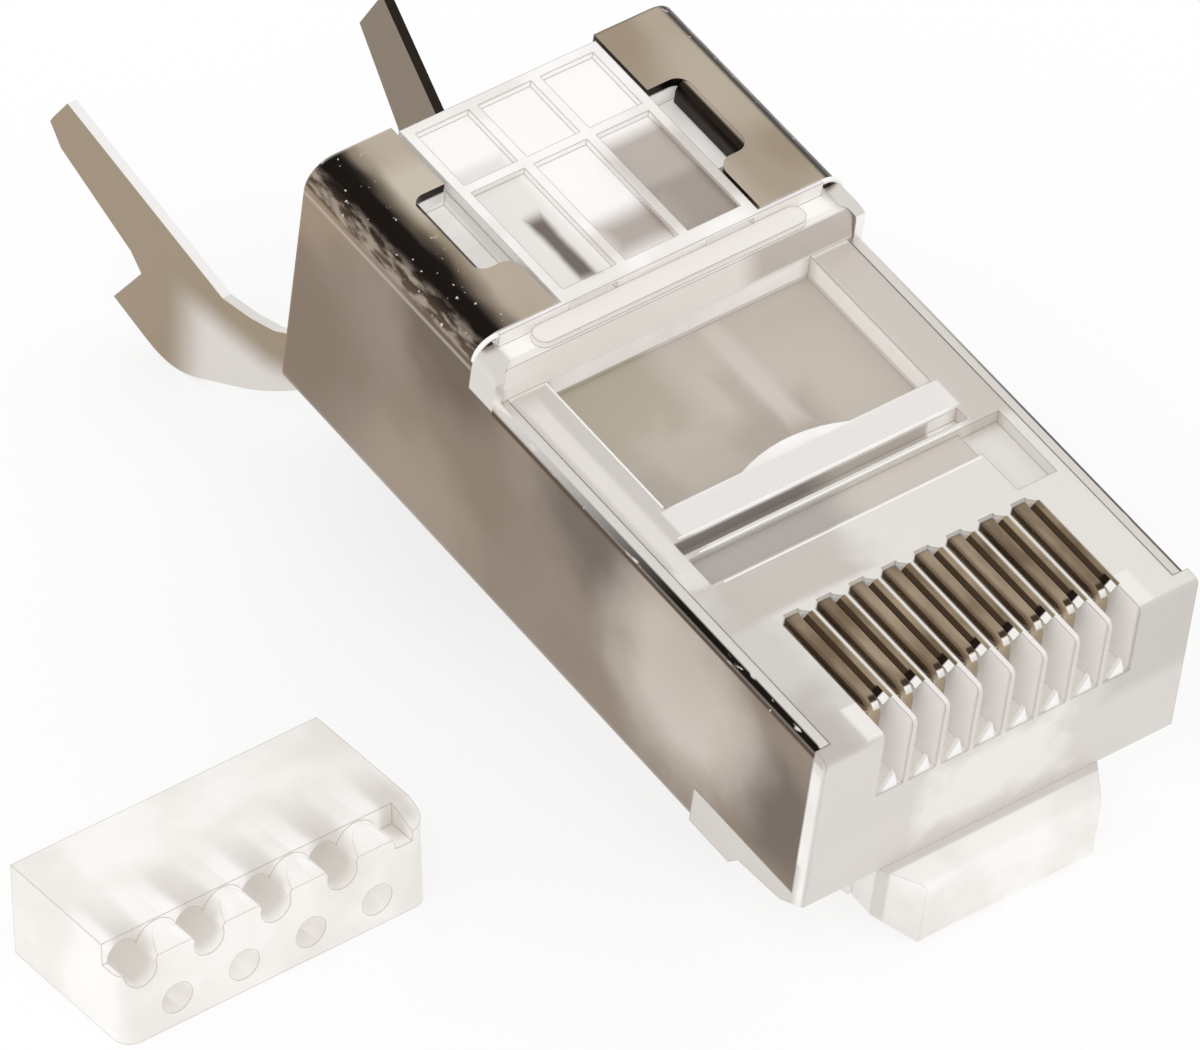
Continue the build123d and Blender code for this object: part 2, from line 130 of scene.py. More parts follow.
class Graph:
    """A short way to add and join the nodes of a material."""

    def __init__(self, name: str) -> None:
        """Start a material with a Principled shader.

        Args:
            name: the material's name.
        """
        self.material = bpy.data.materials.new(name)
        self.material.use_nodes = True
        self.tree = self.material.node_tree
        self.tree.nodes.clear()
        out = self.tree.nodes.new("ShaderNodeOutputMaterial")
        self.shader = self.tree.nodes.new("ShaderNodeBsdfPrincipled")
        self.tree.links.new(self.shader.outputs[0], out.inputs[0])

    def put(self, socket: bpy.types.NodeSocket, value: Value) -> None:
        """Set a socket to a constant, or link it to another node's output.

        Args:
            socket: the input to set.
            value: a constant or an output.
        """
        if isinstance(value, bpy.types.NodeSocket):
            self.tree.links.new(value, socket)
        else:
            socket.default_value = value

    def shade(self, **inputs: Value) -> None:
        """Set inputs of the shader, with underscores for the spaces of their names.

        Args:
            inputs: a value or an output for each input.
        """
        for name, value in inputs.items():
            self.put(self.shader.inputs[name.replace("_", " ")], value)

    def add(self, kind: str, inputs: dict[Union[int, str], Value], **settings: object) -> bpy.types.Node:
        """Add a node.

        Args:
            kind: the node's type, without its usual beginning.
            inputs: a value or an output for each input, by number or name.
            settings: attributes of the node.

        Returns:
            The node.
        """
        node = self.tree.nodes.new("ShaderNode" + kind)
        for name, value in settings.items():
            setattr(node, name, value)
        for socket, value in inputs.items():
            self.put(node.inputs[socket], value)
        return node

    def math(self, operation: str, *values: Value) -> Output:
        """Combine numbers.

        Args:
            operation: the operation's name.
            values: numbers or outputs.

        Returns:
            The result's output.
        """
        return self.add("Math", dict(enumerate(values)), operation=operation).outputs[0]

    def times(self, first: Value, *others: Value) -> Value:
        """Multiply numbers.

        Args:
            first: a number or an output.
            others: more of them.

        Returns:
            The product's output, or the first value when it is alone.
        """
        product = first
        for other in others:
            product = self.math("MULTIPLY", product, other)
        return product

    def vector(self, operation: str, *values: Value) -> bpy.types.Node:
        """Combine vectors.

        Args:
            operation: the operation's name.
            values: vectors or outputs.

        Returns:
            The node, whose outputs are a vector and a number.
        """
        return self.add("VectorMath", dict(enumerate(values)), operation=operation)

    def step(self, value: Value, start: float, end: float) -> Output:
        """Rise smoothly from 0 to 1 between two values.

        Args:
            value: the number that is looked at.
            start: where the result is 0.
            end: where the result is 1.

        Returns:
            The result's output.
        """
        inputs = {0: value, 1: start, 2: end, 3: 0.0, 4: 1.0}
        return self.add("MapRange", inputs, interpolation_type="SMOOTHSTEP").outputs[0]

    def band(self, value: Value, low: float, high: float, soft: float) -> Output:
        """Give 1 between two values and 0 outside them, with soft ends.

        Args:
            value: the number that is looked at.
            low: the lower end.
            high: the upper end.
            soft: the width of each end.

        Returns:
            The result's output.
        """
        return self.times(self.step(value, low - soft, low), self.step(value, high + soft, high))

    def mix(self, share: Value, first: Value, second: Value) -> Output:
        """Mix two colours.

        Args:
            share: how much of the second there is.
            first: a colour or an output.
            second: a colour or an output.

        Returns:
            The mixed colour's output.
        """
        node = self.add("Mix", {}, data_type="RGBA")
        self.put(node.inputs[MIX_SHARE], share)
        self.put(node.inputs[MIX_FIRST], first)
        self.put(node.inputs[MIX_SECOND], second)
        return node.outputs[MIX_RESULT]

    def lay(self, under: Value, tone: Value, *shares: Value) -> Output:
        """Lay a tone over a colour, by the product of some shares.

        Args:
            under: the colour that lies below.
            tone: the tone that is laid over it.
            shares: how much of the tone there is.

        Returns:
            The new colour's output.
        """
        return self.mix(self.times(*shares), under, tone)

    def place(self) -> Output:
        """Give the place in the plug's frame, in millimetres, with a Mapping node.

        Returns:
            The place's output.
        """
        back = PLUG.inverted()
        inputs = {
            0: self.add("TexCoord", {}).outputs["Object"],
            1: back.to_translation(),
            2: back.to_euler(),
            3: Vector(EVEN) / MM,
        }
        return self.add("Mapping", inputs, vector_type="POINT").outputs[0]

    def facing(self) -> Output:
        """Give the surface's direction in the plug's frame.

        Returns:
            The direction's output.
        """
        inputs = {0: self.add("NewGeometry", {}).outputs["Normal"], 2: PLUG.inverted().to_euler()}
        return self.add("Mapping", inputs, vector_type="VECTOR").outputs[0]

    def split(self, vector: Output) -> list[Output]:
        """Split a vector.

        Args:
            vector: the vector's output.

        Returns:
            Its three outputs.
        """
        return list(self.add("SeparateXYZ", {0: vector}).outputs)


class Measure(Enum):
    """What a share can depend on, in the plug's frame."""

    X = "place across"
    Y = "place back"
    Z = "place up"
    OUT = "distance from the middle"
    SLOT = "place across a contact's slot, from its middle"
    ACROSS = "facing to the right"
    BACKWARD = "facing back"
    UPWARD = "facing up"
    SIDEWAYS = "facing to either side"


class Surface:
    """The measures of a surface, whose nodes are added when they are first asked for."""

    MAGNITUDES = {Measure.OUT: Measure.X, Measure.SIDEWAYS: Measure.ACROSS}

    def __init__(self, graph: Graph) -> None:
        """Add the nodes of the place.

        Args:
            graph: the material's graph.
        """
        self.graph = graph
        self.place = graph.place()
        self.found = dict(zip((Measure.X, Measure.Y, Measure.Z), graph.split(self.place)))

    def get(self, measure: Measure) -> Output:
        """Give a measure.

        Args:
            measure: the measure.

        Returns:
            Its output.
        """
        graph = self.graph
        if measure in self.found:
            return self.found[measure]
        if measure in self.MAGNITUDES:
            self.found[measure] = graph.math("ABSOLUTE", self.get(self.MAGNITUDES[measure]))
        elif measure is Measure.SLOT:
            turns = graph.math("FRACT", graph.math("DIVIDE", self.found[Measure.X], PITCH))
            self.found[measure] = graph.math("MULTIPLY", graph.math("SUBTRACT", turns, 0.5), PITCH)
        else:
            ways = (Measure.ACROSS, Measure.BACKWARD, Measure.UPWARD)
            self.found.update(zip(ways, graph.split(graph.facing())))
        return self.found[measure]


@dataclass(frozen=True)
class Cloud:
    """A cloudy pattern around 0.5: how fine it is, how rough, and its scale along each axis."""

    scale: float
    detail: float = 2.0
    stretch: Point = EVEN

    def at(self, graph: Graph, place: Output) -> Output:
        """Give the pattern's value at a place.

        Args:
            graph: the material's graph.
            place: where it is looked up.

        Returns:
            The value's output.
        """
        if self.stretch != EVEN:
            place = graph.vector("MULTIPLY", place, self.stretch).outputs[0]
        inputs = {"Vector": place, "Scale": self.scale, "Detail": self.detail}
        return graph.add("TexNoise", inputs).outputs[0]


@dataclass(frozen=True)
class Patch:
    """A region with a tone laid over it, such as painted shade or a painted highlight: a box in the plug's frame
    with soft edges.

    The reach is how far the tone fades outside the box on each axis, and the wobble moves its edge in
    and out by that share of the reach.
    """

    low: Point
    high: Point
    tone: Tone
    reach: Point = (0.12, 0.12, 0.1)
    share: float = 1.0
    wobble: float = 0.0
    cloud: Cloud = Cloud(1.1)

    def over(self, graph: Graph, place: Output, under: Value) -> Output:
        """Lay the tone over another.

        Args:
            graph: the material's graph.
            place: the place in the plug's frame.
            under: the colour that lies below.

        Returns:
            The new colour's output.
        """
        low, high = Vector(self.low), Vector(self.high)
        away = graph.vector("SUBTRACT", place, (low + high) / 2).outputs[0]
        away = graph.vector("ABSOLUTE", away).outputs[0]
        away = graph.vector("SUBTRACT", away, (high - low) / 2).outputs[0]
        away = graph.vector("DIVIDE", away, self.reach).outputs[0]
        x, y, z = graph.split(away)
        distance = graph.math("MAXIMUM", graph.math("MAXIMUM", x, y), z)
        if self.wobble:
            sway = graph.math("SUBTRACT", self.cloud.at(graph, place), 0.5)
            distance = graph.math("MULTIPLY_ADD", sway, 2 * self.wobble, distance)
        return graph.lay(under, self.tone, graph.step(distance, 1.0, 0.0), self.share)


# Past both sides, the depth of the window's floor, and soft edges that the patches share.
FAR = 60.0
DEEP = -0.9
WIDE = (1.2, 1.2, 0.1)
MILD = (0.5, 0.5, 0.1)
ALONG = (1.6, 0.12, 0.1)

# Tones laid over the housing: painted shade in its grooves, recesses and darker faces, painted highlights on its
# ledges and edges, and the painted look of what lies behind the clear plastic.
HOUSING_PATCHES = (
    Patch((-FAR, 0.0, -0.6), (FAR, 7.3, 0.1), seen(226, 223, 217), MILD),
    Patch((-6.0, 0.3, -0.3), (-4.6, 5.5, 0.3), seen(207, 203, 199), WIDE, 1.0, 0.5),
    Patch((-6.0, 0.2, -0.3), (-5.2, 1.6, 0.3), seen(188, 181, 175), WIDE, 0.9, 0.4),
    Patch((-FAR, -0.2, -7.0), (FAR, 0.05, -0.3), seen(216, 211, 206), (0.3, 0.1, 0.3)),
    Patch((-1.6, -0.2, -4.4), (1.4, 0.05, -2.9), seen(240, 236, 231), (1.2, 0.1, 0.8), 0.9, 0.8),
    Patch((-4.4, 0.12, -2.6), (4.4, 1.2, 0.1), seen(238, 234, 230), (0.2, 0.08, 0.2)),
    Patch((3.8, -0.2, -2.6), (5.9, 0.05, -0.3), seen(198, 193, 187), (0.9, 0.1, 0.8), 0.9),
    Patch((-7.0, 0.5, -8.6), (-5.2, 6.6, -4.3), seen(213, 208, 202), (0.2, 0.3, 0.2), 1.0, 0.4),
    Patch((-6.0, 7.3, -0.3), (-4.3, 13.9, 0.3), seen(204, 199, 193), MILD),
    Patch((-5.1, 7.3, -0.3), (-4.8, 13.0, 0.3), seen(228, 223, 218), (0.2, 1.0, 0.1), 0.9),
    Patch((4.35, 7.3, -0.7), (6.0, 13.9, 0.3), seen(203, 195, 187), MILD),
    Patch((4.1, 9.2, -0.7), (4.35, 13.5, -0.1), seen(250, 247, 242), (0.1, 0.5, 0.1), 1.0, 0.3),
    Patch((-4.15, 8.9, DEEP), (4.15, 13.9, -0.7), seen(196, 187, 177)),
    Patch((-4.15, 11.6, DEEP), (-1.6, 13.9, -0.7), seen(176, 167, 150), (1.3, 1.3, 0.1), 0.9),
    Patch((-4.15, 8.8, DEEP), (1.2, 10.3, -0.7), seen(174, 164, 153), WIDE, 0.9),
    Patch((-4.3, 7.95, -0.3), (4.3, 8.8, 0.1), seen(232, 228, 225), (0.1, 0.1, 0.1)),
    Patch((-2.4, 9.8, DEEP), (-1.4, 11.0, -0.7), seen(208, 199, 190), WIDE, 0.3, 0.6),
    Patch((0.9, 10.6, DEEP), (1.1, 13.9, -0.7), seen(210, 202, 193), (0.4, 1.0, 0.1), 0.8),
    Patch((0.2, 9.6, DEEP), (0.4, 12.0, -0.7), seen(174, 165, 154), (0.4, 1.0, 0.1), 0.6),
    Patch((-4.9, 7.4, -0.6), (3.2, 7.82, -0.1), seen(196, 188, 180)),
    Patch((-4.9, 7.4, -0.6), (-0.9, 7.82, -0.1), seen(146, 138, 130), ALONG),
    Patch((-4.6, 6.35, -0.35), (3.8, 7.15, -0.12), seen(206, 198, 190)),
    Patch((-4.6, 6.35, -0.35), (-1.0, 7.15, -0.12), seen(176, 168, 162), ALONG),
    Patch((-4.6, 4.8, -0.15), (-1.6, 6.1, 0.1), seen(196, 189, 181), (1.4, 0.3, 0.1), 0.9, 0.5),
    Patch((-5.3, 13.9, 0.0), (5.3, 14.4, 0.9), seen(236, 230, 224), (0.3, 0.1, 0.1), 0.9, 0.4),
    Patch((2.8, 13.8, 0.1), (5.6, 14.1, 0.9), seen(190, 181, 174), (1.0, 0.1, 0.1), 0.9),
    Patch((-5.0, 14.4, 0.9), (5.0, 15.0, 1.0), seen(255, 252, 248), (0.1, 0.1, 0.05)),
    Patch((-4.3, 14.1, 1.02), (4.3, 14.9, 1.25), seen(238, 233, 228), (0.1, 0.1, 0.05)),
    Patch((-FAR, 15.0, 0.8), (FAR, 22.0, 1.3), seen(252, 249, 247), (0.1, 0.1, 0.05)),
    Patch((-3.3, 15.4, 0.8), (-1.5, 19.8, 1.3), seen(232, 228, 224), MILD),
    Patch((1.0, 16.0, 1.3), (3.6, 18.0, 1.6), seen(206, 199, 192), (0.4, 0.8, 0.1), 0.85),
    Patch((-1.6, 15.8, 1.3), (1.0, 16.2, 1.6), seen(222, 216, 210), (0.6, 0.6, 0.1), 0.8),
    Patch((1.3, 15.3, 0.8), (3.3, 18.6, 1.3), seen(160, 150, 142), (0.3, 0.2, 0.05)),
    Patch((1.3, 17.4, 0.8), (3.3, 18.7, 1.3), seen(188, 179, 171), MILD, 0.8),
    Patch((-0.3, 16.0, 0.8), (1.0, 16.3, 1.3), seen(176, 166, 158), (0.9, 0.9, 0.05)),
    Patch((-1.95, 15.7, 0.8), (-1.75, 17.5, 1.5), seen(104, 94, 86), (0.25, 0.6, 0.05), 1.0, 0.3),
)


class Finish(Protocol):
    """Anything that makes a material."""

    def make(self) -> bpy.types.Material:
        """Build the material."""


@dataclass(frozen=True)
class Channels:
    """Soft streaks of painted shade and painted highlight over the wire channels that lie inside the clear load
    bar.
    """

    node: str = "load_bar"
    pitch: float = 2 * PITCH
    width: float = 0.2
    start: float = 0.5
    fade: float = 3.2
    sway: float = 0.5
    cloud: Cloud = Cloud(0.8, stretch=(1.0, 0.3, 1.0))
    tone: Tone = seen(196, 189, 180)
    tone_soft: float = 0.2
    tone_share: float = 0.55
    light: Tone = seen(255, 254, 252)
    light_soft: float = 0.12
    light_share: float = 0.8

    def over(self, graph: Graph, under: Value) -> Output:
        """Lay the streaks over another colour.

        Args:
            graph: the material's graph.
            under: the colour that lies below.

        Returns:
            The new colour's output.
        """
        inputs = {
            0: graph.add("TexCoord", {}).outputs["Object"],
            1: Vector(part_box(self.node)[0]),
            3: Vector(EVEN) * MM,
        }
        inside = graph.add("Mapping", inputs, vector_type="TEXTURE").outputs[0]
        x, y, _ = graph.split(inside)
        shifted = graph.math("MULTIPLY_ADD", self.cloud.at(graph, inside), self.sway, x)
        turns = graph.math("FRACT", graph.math("DIVIDE", shifted, self.pitch))
        along = graph.times(graph.step(y, 0.0, self.start), graph.step(y, self.fade, self.start))
        half = self.width / 2
        # Painted shade streaks, with painted highlight streaks between them.
        dark = graph.band(turns, 0.5 - half, 0.5 + half, self.tone_soft)
        pale = graph.band(turns, 0.0, self.width, self.light_soft)
        tone = graph.lay(under, self.tone, dark, along, self.tone_share)
        return graph.lay(tone, self.light, pale, along, self.light_share)


@dataclass(frozen=True)
class Outline:
    """Thin grey outlines of painted shade along the edges of the plastic, fainter in the front slots."""

    tone: Tone = seen(150, 142, 134)
    reach: float = 0.00006
    samples: int = 6
    turn: Span = (0.99, 0.86)
    share: float = 0.85
    slot_y: Span = (1.3, 0.9)
    slot_z: Span = (-0.1, -0.5)
    slot_loss: float = 0.5

    def over(self, graph: Graph, place: Output, under: Value) -> Output:
        """Lay the outlines over another colour.

        Args:
            graph: the material's graph.
            place: the place in the plug's frame.
            under: the colour that lies below.

        Returns:
            The new colour's output.
        """
        rounded = graph.add("Bevel", {0: self.reach}, samples=self.samples).outputs[0]
        flat = graph.add("NewGeometry", {}).outputs["True Normal"]
        match = graph.vector("DOT_PRODUCT", rounded, flat).outputs["Value"]
        _, y, z = graph.split(place)
        slots = graph.times(graph.step(y, *self.slot_y), graph.step(z, *self.slot_z))
        share = graph.math("MULTIPLY_ADD", slots, -self.slot_loss, self.share)
        return graph.lay(under, self.tone, graph.step(match, *self.turn), share)


@dataclass(frozen=True)
class ClearPlastic:
    """Milky clear plastic, with painted shade, painted highlights and painted tones of what lies behind it, and
    thin outlines of painted shade.

    The surface shows most of its tone, and gives off the rest as a weak painted glow of the same tone, which lifts
    its shade.
    """

    name: str = "milky_clear"
    body: Tone = seen(251, 249, 246)
    cloud: Tone = seen(236, 232, 228)
    clouds: Cloud = Cloud(0.45)
    cloud_span: Span = (0.35, 0.7)
    outline: Outline = Outline()
    roughness: float = 0.2
    index: float = 1.4
    clearness: float = 0.12
    shown: float = 0.8
    painted_glow: float = 0.22
    patches: tuple[Patch, ...] = ()
    channels: Optional[Channels] = None

    def make(self) -> bpy.types.Material:
        """Build the material.

        Returns:
            The material.
        """
        graph = Graph(self.name)
        place = graph.place()
        clouds = graph.step(self.clouds.at(graph, place), *self.cloud_span)
        tone = graph.mix(clouds, self.body, self.cloud)
        for patch in self.patches:
            tone = patch.over(graph, place, tone)
        if self.channels:
            tone = self.channels.over(graph, tone)
        tone = self.outline.over(graph, place, tone)
        graph.shade(
            Base_Color=graph.vector("MULTIPLY", tone, (self.shown,) * 3).outputs[0],
            # A weak painted glow of the tone, which lifts the plastic's shade.
            Emission_Color=tone,
            Emission_Strength=self.painted_glow,
            Roughness=self.roughness,
            IOR=self.index,
            Transmission_Weight=self.clearness,
        )
        return graph.material


class Share(Protocol):
    """Anything that says how much of a tone there is."""

    def of(self, surface: Surface) -> Output:
        """Give the share at the surface."""


@dataclass(frozen=True)
class Rise:
    """A share that rises smoothly to 1 while a measure goes from one value to another.

    It starts at its least value, and a cloud can sway the measure.
    """

    measure: Measure
    start: float
    end: float
    least: float = 0.0
    sway: float = 0.0
    cloud: Cloud = Cloud(1.0, stretch=(1.0, 0.35, 1.0))

    def of(self, surface: Surface) -> Output:
        """Give the share at the surface.

        Args:
            surface: the surface's measures.

        Returns:
            The share's output.
        """
        graph = surface.graph
        value = surface.get(self.measure)
        if self.sway:
            value = graph.math("MULTIPLY_ADD", self.cloud.at(graph, surface.place), self.sway, value)
        share = graph.step(value, self.start, self.end)
        return graph.math("MAXIMUM", share, self.least) if self.least else share


@dataclass(frozen=True)
class Within:
    """A share that is 1 while a measure lies between two values, with soft ends."""

    measure: Measure
    low: float
    high: float
    soft: float

    def of(self, surface: Surface) -> Output:
        """Give the share at the surface."""
        return surface.graph.band(surface.get(self.measure), self.low, self.high, self.soft)


@dataclass(frozen=True)
class Clouded:
    """A share that rises from 0 to 1 between two values of a cloudy pattern."""

    cloud: Cloud
    start: float
    end: float

    def of(self, surface: Surface) -> Output:
        """Give the share at the surface."""
        return surface.graph.step(self.cloud.at(surface.graph, surface.place), self.start, self.end)


@dataclass(frozen=True)
class Near:
    """A share that is 1 near a point, with a soft and cloudy edge."""

    middle: Point
    reach: float
    core: float = 0.3
    sway: float = 1.8
    cloud: Cloud = Cloud(0.55)

    def of(self, surface: Surface) -> Output:
        """Give the share at the surface.

        Args:
            surface: the surface's measures.

        Returns:
            The share's output.
        """
        graph, place = surface.graph, surface.place
        away = graph.vector("DISTANCE", place, self.middle).outputs["Value"]
        cloud = graph.math("SUBTRACT", self.cloud.at(graph, place), 0.5)
        away = graph.math("MULTIPLY_ADD", cloud, self.sway, away)
        return graph.step(away, self.reach, self.reach * self.core)


@dataclass(frozen=True)
class Coat:
    """A plain tone with the regions that lie over it, in order."""

    base: Tone
    regions: tuple["Region", ...]

    def tone(self, surface: Surface) -> Value:
        """Give the coat's colour.

        Args:
            surface: the surface's measures.

        Returns:
            The colour's output.
        """
        tone: Value = self.base
        for region in self.regions:
            tone = region.over(surface, tone)
        return tone


@dataclass(frozen=True)
class Region:
    """A tone, or a coat of its own, that is laid over a colour by the product of its shares."""

    tone: Union[Tone, Coat]
    where: tuple[Share, ...]
    amount: float = 1.0

    def over(self, surface: Surface, under: Value) -> Output:
        """Lay the region over another colour.

        Args:
            surface: the surface's measures.
            under: the colour that lies below.

        Returns:
            The new colour's output.
        """
        tone = self.tone.tone(surface) if isinstance(self.tone, Coat) else self.tone
        shares = [share.of(surface) for share in self.where]
        return surface.graph.lay(under, tone, *shares, self.amount)


NEAR_BLACK = seen(30, 25, 21)
NEAR_WHITE = seen(250, 248, 246)
PALE_METAL = seen(226, 221, 215)
STREAKS = Cloud(1.6, 5.0, (3.0, 0.8, 3.0))

# Painted reflections: clouds over both sides, then dark and pale reflected spots on the left one.
SIDES = (
    Region(seen(152, 137, 122), (Clouded(Cloud(0.2, 3.0), 0.36, 0.64),)),
    Region(seen(112, 101, 91), (Near((-5.8, 9.7, -0.6), 2.8),), 0.95),
    Region(seen(112, 101, 91), (Near((-5.8, 1.4, -3.2), 2.8),), 0.95),
    Region(seen(106, 90, 75), (Near((-5.8, 15.5, 0.4), 3.0),), 0.9),
    Region(seen(164, 149, 133), (Near((-5.8, 16.4, -6.0), 3.8),), 0.9),
    Region(seen(132, 114, 98), (Near((-5.8, 21.8, -3.8), 4.2),), 0.9),
    Region(seen(160, 140, 118), (Near((-5.8, 21.6, 0.6), 2.2),), 0.9),
    Region(seen(216, 206, 196), (Near((-5.8, 5.5, -2.4), 4.2),)),
)

# Painted reflection on the upper bends: black at the top, brown below, with a cloudy glow and small glints.
BEND_REFLECTION = Coat(
    seen(96, 82, 69),
    (
        Region(NEAR_BLACK, (Rise(Measure.Z, 0.85, 1.3),)),
        Region(seen(182, 168, 154), (Clouded(STREAKS, 0.42, 0.62), Within(Measure.Z, 0.5, 1.1, 0.2)), 0.8),
        Region(seen(225, 216, 206), (Clouded(Cloud(5.5, 1.0), 0.71, 0.76),), 0.9),
    ),
)
BENDS = (Region(BEND_REFLECTION, (Rise(Measure.UPWARD, 0.12, 0.3),)),)

# The mottled tan flaps with a painted sheen on the left one, painted shade on their inner faces, and the pale line
# below the bend.
SHEEN = (Within(Measure.X, -4.2, -3.4, 0.6), Within(Measure.Y, 19.4, 20.4, 1.0))
MOTTLED_TAN_WITH_SHEEN = Coat(
    seen(168, 152, 132),
    (
        Region(seen(194, 181, 164), (Clouded(Cloud(0.5, 1.0, (1.0, 0.5, 1.0)), 0.3, 0.7),)),
        Region(seen(214, 203, 186), SHEEN, 0.85),
    ),
)
FLAP_TOP = (
    Rise(Measure.X, -4.45, -3.6, sway=1.1),
    Rise(Measure.X, 5.5, 5.2),
    Rise(Measure.Z, 1.3, 1.38),
)
# Painted shade on the inner faces of the flaps, where they don't face up.
FLAP_INNER_SHADE = (Rise(Measure.OUT, 5.3, 5.0), Rise(Measure.Y, 15.0, 15.6), Rise(Measure.UPWARD, 0.95, 0.8))
LINE_BELOW_BEND = (Within(Measure.Z, 0.46, 0.54, 0.05), Rise(Measure.Y, 14.8, 15.0))
FLAPS = (
    Region(MOTTLED_TAN_WITH_SHEEN, FLAP_TOP),
    Region(seen(44, 37, 32), FLAP_INNER_SHADE),
    Region(seen(196, 184, 170), LINE_BELOW_BEND, 0.6),
)

# The pale side rims along the nose, with a thin dark outer line, flecked with painted glints, that grows forward.
RIM = (Rise(Measure.Y, 14.92, 14.88), Rise(Measure.Z, -0.2, -0.12))
RIM_LINE = Coat(NEAR_BLACK, (Region(seen(232, 227, 220), (Clouded(STREAKS, 0.6, 0.66),)),))
RIMS = (
    Region(PALE_METAL, RIM),
    Region(RIM_LINE, (*RIM, Rise(Measure.OUT, 5.6, 5.66), Rise(Measure.Y, 14.2, 6.0))),
)

# The tan tail, with painted shade on its right wing, a painted highlight on the cut edge of its left wing and
# painted shade on the cut edge of its right wing.
BEHIND = Rise(Measure.Y, 22.0, 22.2)
TAIL_TAN = Coat(
    seen(162, 145, 124),
    (
        # Painted shade, darker towards the right wing.
        Region(seen(132, 118, 101), (Rise(Measure.X, -3.0, 3.0),)),
        Region(PALE_METAL, (Rise(Measure.Z, -9.6, -11.0), Rise(Measure.Y, 29.4, 27.6))),
    ),
)
CUT_EDGE_LIGHT_AND_SHADE = Coat(NEAR_WHITE, (Region(seen(46, 40, 35), (Rise(Measure.X, -0.5, 0.5),)),))
WING_CUT = (
    BEHIND,
    Rise(Measure.SIDEWAYS, 0.5, 0.35),
    Rise(Measure.UPWARD, -0.5, -0.2),
    Rise(Measure.OUT, 2.9, 3.3),
    Rise(Measure.BACKWARD, 0.1, -0.2, least=0.75),
)
TAIL = (Region(TAIL_TAN, (BEHIND,)), Region(CUT_EDGE_LIGHT_AND_SHADE, WING_CUT))

# The cut edges that face the nose, with a painted highlight over all the rest.
FRONT_EDGES = (Region(NEAR_WHITE, (Rise(Measure.BACKWARD, -0.8, -0.95), Rise(Measure.Y, 16.0, 15.5))),)
SHEET = Coat(seen(141, 125, 109), (*SIDES, *BENDS, *FLAPS, *RIMS, *TAIL, *FRONT_EDGES))

# A blade has painted shade on its left, front faces painted lighter, a black and white glint of painted reflection
# at its front corner, and a pale lower end painted as if seen through the milky wall.
# The dark of painted reflections, at the blades' front corners and along the linings.
DARK_REFLECTION = seen(70, 56, 42)
GLINT = seen(252, 250, 247)
BLADE_CORNER = (Within(Measure.SLOT, 0.0, 0.17, 0.03), Rise(Measure.UPWARD, 1.0, 0.96))
BLADE_LIGHT_AND_SHADE = (
    Region(seen(98, 80, 62), (Rise(Measure.SLOT, -0.02, -0.17),), 0.8),
    Region(seen(186, 171, 150), (Rise(Measure.BACKWARD, -0.6, -0.9),)),
    Region(DARK_REFLECTION, (*BLADE_CORNER, Within(Measure.BACKWARD, -0.5, -0.15, 0.05))),
    Region(GLINT, (*BLADE_CORNER, Within(Measure.BACKWARD, -0.85, -0.6, 0.05))),
    Region(seen(212, 206, 199), (Rise(Measure.Z, -0.9, -1.3),)),
)
# A lining of a slot has a dark strip of painted reflection along it, which ends in a black and a white glint, and
# a painted highlight at its outer edge.
STRIP_END = Within(Measure.SLOT, 0.22, 0.38, 0.02)
LINING_REFLECTIONS = (
    Region(DARK_REFLECTION, (Within(Measure.SLOT, 0.23, 0.34, 0.02),)),
    Region(seen(222, 215, 206), (Rise(Measure.SLOT, 0.46, 0.49),), 0.6),
    Region(seen(34, 27, 21), (STRIP_END, Rise(Measure.Y, 1.5, 1.4))),
    Region(GLINT, (STRIP_END, Rise(Measure.Y, 1.22, 1.16))),
)


@dataclass(frozen=True)
class Metal:
    """A bare metal with its coat of tones."""

    name: str
    coat: Coat
    roughness: float

    def make(self) -> bpy.types.Material:
        """Build the material.

        Returns:
            The material.
        """
        graph = Graph(self.name)
        tone = self.coat.tone(Surface(graph))
        graph.shade(Base_Color=tone, Metallic=1.0, Roughness=self.roughness)
        return graph.material


@dataclass(frozen=True)
class ContactMetal:
    """Plated contact metal, lightly clouded, with painted light and shade placed across each slot."""

    name: str
    tone: Tone
    shade: Tone
    painted_light: tuple[Region, ...]
    clouds: Clouded = Clouded(Cloud(0.9, 3.0, (1.0, 0.5, 1.0)), 0.3, 0.7)
    roughness: float = 0.28

    def make(self) -> bpy.types.Material:
        """Build the material."""
        coat = Coat(self.tone, (Region(self.shade, (self.clouds,)), *self.painted_light))
        return Metal(self.name, coat, self.roughness).make()


@dataclass(frozen=True)
class Bright:
    """The bright line of a thin edge that catches the light."""

    name: str
    tone: Tone = NEAR_WHITE
    roughness: float = 0.3

    def make(self) -> bpy.types.Material:
        """Build the material.

        Returns:
            The material.
        """
        graph = Graph(self.name)
        graph.shade(Base_Color=self.tone, Roughness=self.roughness)
        return graph.material


def dress(node: str, material: bpy.types.Material) -> None:
    """Give a CAD node's slots a better material.

    Args:
        node: the node's name.
        material: the material for each of its slots.
    """
    mesh = frame["nodes"][node].data
    if not mesh.materials:
        mesh.materials.append(material)
    for number in range(len(mesh.materials)):
        mesh.materials[number] = material


